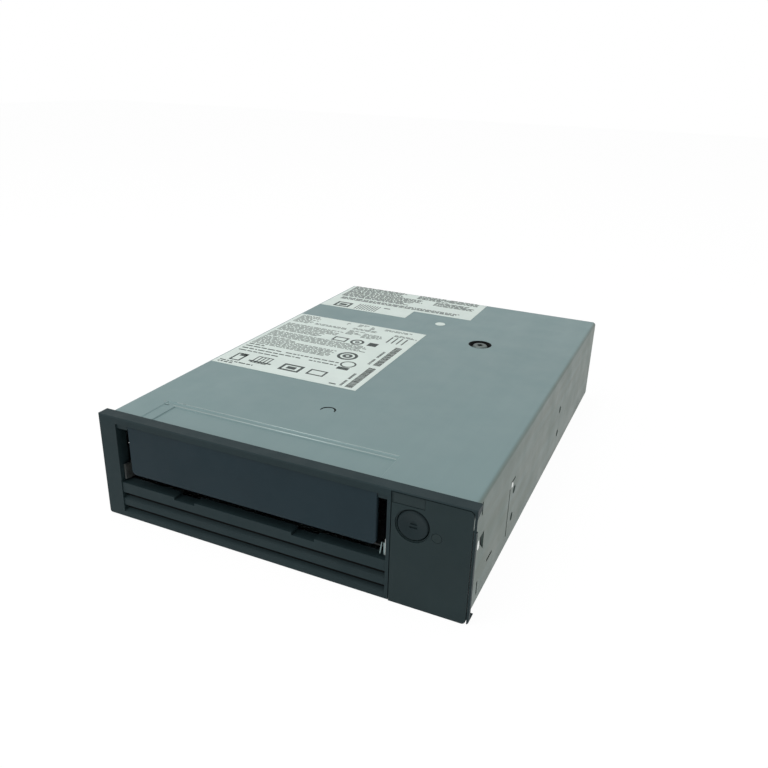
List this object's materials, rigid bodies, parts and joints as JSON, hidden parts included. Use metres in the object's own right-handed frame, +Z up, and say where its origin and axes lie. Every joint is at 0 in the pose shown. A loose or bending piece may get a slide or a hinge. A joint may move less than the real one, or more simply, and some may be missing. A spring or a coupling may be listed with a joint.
{
  "type": "data tape drive",
  "caption": "Half-height cartridge tape drive with hinged loading door, eject button, metal housing, geared tray, reels, rollers, head lift and threading arm.",
  "frame": {"origin": "centre of the bounding box footprint, on its lowest plane (the lower edge of the bezel)", "axes": "+X to the right seen from the front, +Y from the bezel to the rear connectors (longest), +Z up (shortest)"},
  "size_m": [0.1484, 0.2106, 0.043],
  "materials": {
    "bezel_plastic": "fine moulded texture",
    "door_plastic": "fine moulded texture",
    "panel_plastic": "fine moulded texture",
    "button_plastic": "satin",
    "smoked_window": "gloss",
    "lamp_lens": "frosted",
    "cover_steel": "grey-green coating, satin",
    "cast_metal": "as cast",
    "machined_metal": "machined",
    "sheet_steel": "zinc plated",
    "bright_steel": "ground",
    "label_film": "printed polyester label, satin",
    "board_green": "solder mask",
    "chip_black": "epoxy",
    "connector_black": "moulded",
    "gear_plastic": "acetal",
    "reel_plastic": "moulded",
    "clip_steel": "spring steel",
    "head_ceramic": "lapped",
    "drive_brass": "turned"
  },
  "bodies": {
    "chassis": {"bezel_frame": "bezel_plastic", "door_pins": "bright_steel", "control_panel": "panel_plastic", "status_window": "smoked_window", "status_lens": "lamp_lens", "front_board": "board_green", "button_switch": "chip_black", "status_lamp": "lamp_lens", "base_frame": "cast_metal", "top_cover": "cover_steel", "cover_screw": "bright_steel", "main_label": "label_film", "rear_label": "label_film", "cover_sticker": "label_film", "rear_panel": "sheet_steel", "host_connector": "connector_black", "library_port": "connector_black", "deck_plate": "machined_metal", "logic_board": "board_green", "board_components": "chip_black", "chip_heatsink": "machined_metal", "reader_board": "board_green", "tray_sensor": "chip_black", "guide_rail_left": "sheet_steel", "guide_rail_right": "sheet_steel", "gear_post": "bright_steel", "load_motor": "sheet_steel", "supply_motor": "sheet_steel", "takeup_motor": "sheet_steel", "roller_posts": "bright_steel", "retaining_clips": "clip_steel", "head_base": "machined_metal", "head_stepper": "sheet_steel", "thread_pivot": "bright_steel", "thread_motor": "sheet_steel"},
    "door": {"door": "door_plastic"},
    "eject_button": {"eject_button": "button_plastic"},
    "load_slider": {"slider_left": "sheet_steel"},
    "rack_slider": {"slider_right": "gear_plastic"},
    "tray": {"cartridge_tray": "sheet_steel", "tray_pins": "bright_steel"},
    "load_gear": {"load_gear": "gear_plastic"},
    "load_pinion": {"load_pinion": "drive_brass"},
    "supply_clutch": {"supply_hub": "gear_plastic"},
    "takeup_reel": {"takeup_hub": "reel_plastic", "takeup_flange_lower": "machined_metal", "takeup_flange_upper": "machined_metal"},
    "lead_screw": {"lead_screw": "bright_steel"},
    "head": {"head_carriage": "machined_metal", "read_write_head": "head_ceramic"},
    "thread_arm": {"thread_arm": "sheet_steel", "thread_gear": "gear_plastic", "leader_block": "gear_plastic"},
    "thread_pinion": {"thread_pinion": "drive_brass"},
    "guide_roller_1": {"guide_roller_1": "machined_metal"},
    "guide_roller_2": {"guide_roller_2": "machined_metal"},
    "guide_roller_3": {"guide_roller_3": "machined_metal"},
    "guide_roller_4": {"guide_roller_4": "machined_metal"}
  },
  "joints": [
    {"name": "door_hinge", "type": "hinge", "parent": "chassis", "child": "door", "pos_m": [-0.0101, -0.10385, 0.03945], "axis": [1, 0, 0], "range_deg": [0, 90], "stiffness_Nm_per_rad": 0.0012, "springref_deg": -22.92},
    {"name": "button_press", "type": "slide", "parent": "chassis", "child": "eject_button", "axis": [0, 1, 0], "range_m": [0, 0.001], "stiffness_N_per_m": 400, "springref_m": -0.0005},
    {"name": "load_slide", "type": "slide", "parent": "chassis", "child": "load_slider", "axis": [0, 1, 0], "range_m": [0, 0.022]},
    {"name": "rack_slide", "type": "slide", "parent": "chassis", "child": "rack_slider", "axis": [0, 1, 0], "range_m": [0, 0.022]},
    {"name": "tray_drop", "type": "slide", "parent": "load_slider", "child": "tray", "axis": [0, 0, 1], "range_m": [-0.003, 0]},
    {"name": "load_gear_spin", "type": "hinge", "parent": "chassis", "child": "load_gear", "pos_m": [0.056, -0.06025, 0.03285], "axis": [0, 0, 1], "range_deg": [-211, 1]},
    {"name": "load_pinion_spin", "type": "hinge", "parent": "chassis", "child": "load_pinion", "pos_m": [0.06031, -0.04841, 0.03285], "axis": [0, 0, 1], "range_deg": [-1, 526]},
    {"name": "supply_spin", "type": "hinge", "parent": "chassis", "child": "supply_clutch", "pos_m": [-0.0109, -0.04325, 0.01385], "axis": [0, 0, 1], "continuous": true},
    {"name": "takeup_spin", "type": "hinge", "parent": "chassis", "child": "takeup_reel", "pos_m": [-0.01, 0.05525, 0.02485], "axis": [0, 0, 1], "continuous": true},
    {"name": "roller_1_spin", "type": "hinge", "parent": "chassis", "child": "guide_roller_1", "pos_m": [0.0418, 0.01665, 0.02475], "axis": [0, 0, 1], "continuous": true},
    {"name": "roller_2_spin", "type": "hinge", "parent": "chassis", "child": "guide_roller_2", "pos_m": [0.0515, 0.02525, 0.02475], "axis": [0, 0, 1], "continuous": true},
    {"name": "roller_3_spin", "type": "hinge", "parent": "chassis", "child": "guide_roller_3", "pos_m": [0.0515, 0.05475, 0.02475], "axis": [0, 0, 1], "continuous": true},
    {"name": "roller_4_spin", "type": "hinge", "parent": "chassis", "child": "guide_roller_4", "pos_m": [0.042, 0.06375, 0.02475], "axis": [0, 0, 1], "continuous": true},
    {"name": "head_travel", "type": "slide", "parent": "chassis", "child": "head", "axis": [0, 0, 1], "range_m": [-0.0045, 0.0045]},
    {"name": "lead_screw_spin", "type": "hinge", "parent": "chassis", "child": "lead_screw", "pos_m": [0.0528, 0.03575, 0.02485], "axis": [0, 0, 1], "range_deg": [-1081, 1081]},
    {"name": "thread_swing", "type": "hinge", "parent": "chassis", "child": "thread_arm", "pos_m": [0.0285, 0.04075, 0.03785], "axis": [0, 0, 1], "range_deg": [0, 122]},
    {"name": "thread_pinion_spin", "type": "hinge", "parent": "chassis", "child": "thread_pinion", "pos_m": [0.04214, 0.03319, 0.03685], "axis": [0, 0, 1], "range_deg": [-408, 1]}
  ],
  "couplings": [
    {"joint": "rack_slide", "follows": "load_slide", "ratio": 1},
    {"joint": "tray_drop", "follows": "load_slide", "ratio": -0.13636},
    {"joint": "load_gear_spin", "follows": "load_slide", "rad_per_m": -166.67},
    {"joint": "load_pinion_spin", "follows": "load_slide", "rad_per_m": 416.67},
    {"joint": "lead_screw_spin", "follows": "head_travel", "rad_per_m": 4188.8},
    {"joint": "thread_pinion_spin", "follows": "thread_swing", "ratio": -3.3333}
  ]
}
